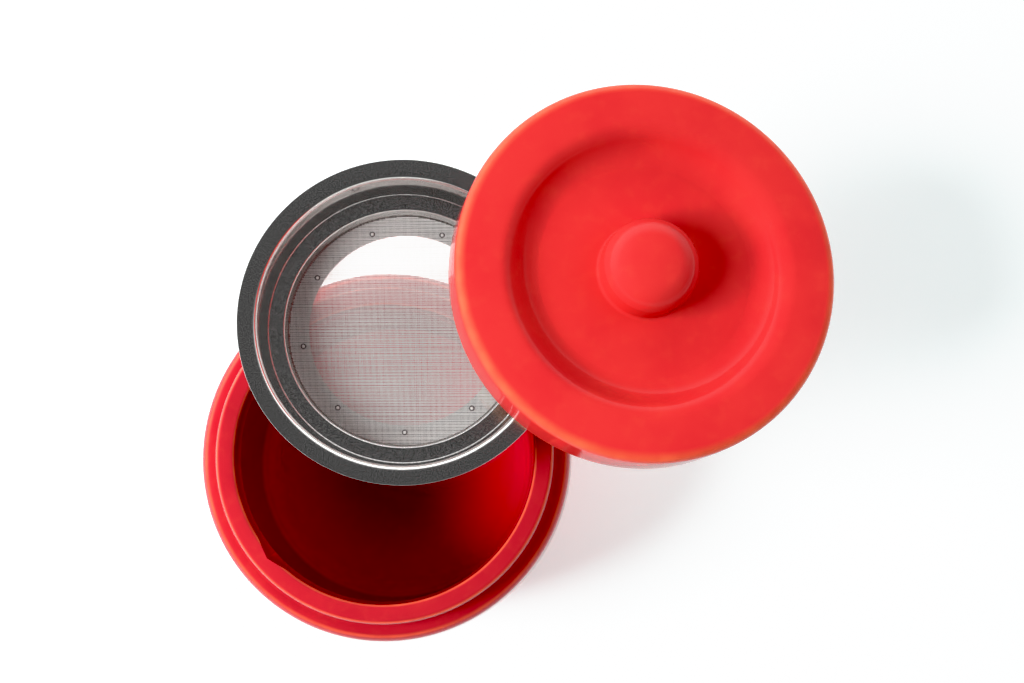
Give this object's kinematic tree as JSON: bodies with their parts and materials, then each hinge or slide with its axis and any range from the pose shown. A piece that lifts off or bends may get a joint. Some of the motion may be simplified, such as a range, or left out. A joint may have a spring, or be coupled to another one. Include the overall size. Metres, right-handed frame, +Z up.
{
  "type": "grease container",
  "caption": "Round stoneware grease jar with a lift-out steel mesh strainer and a knobbed stoneware lid, set out for straining.",
  "frame": {"origin": "centre of the jar's foot, on the surface that the jar stands on", "axes": "+Z up along the jar's axis; +X towards the side on which the lid lies; the strainer lies over the +Y side of the mouth"},
  "size_m": [0.2112, 0.1843, 0.1516],
  "materials": {
    "jar_glaze": "gloss red glaze on stoneware, bare foot ring",
    "lid_glaze": "gloss red glaze on stoneware",
    "strainer_steel": "pressed stainless steel, satin flats and bright bends",
    "woven_wire": "fine plain-woven stainless wire",
    "weld_metal": "spot weld with a heat ring"
  },
  "bodies": {
    "jar": {"jar": "jar_glaze"},
    "strainer": {"strainer_frame": "strainer_steel", "strainer_mesh": "woven_wire", "mesh_welds": "weld_metal"},
    "lid": {"lid": "lid_glaze"}
  },
  "joints": [
    {"name": "strainer_lift", "type": "slide", "parent": "jar", "child": "strainer", "axis": [0, 0, 1], "range_m": [0, 0.04]},
    {"name": "lid_lift", "type": "slide", "parent": "strainer", "child": "lid", "axis": [0, 0, 1], "range_m": [0, 0.05]}
  ]
}
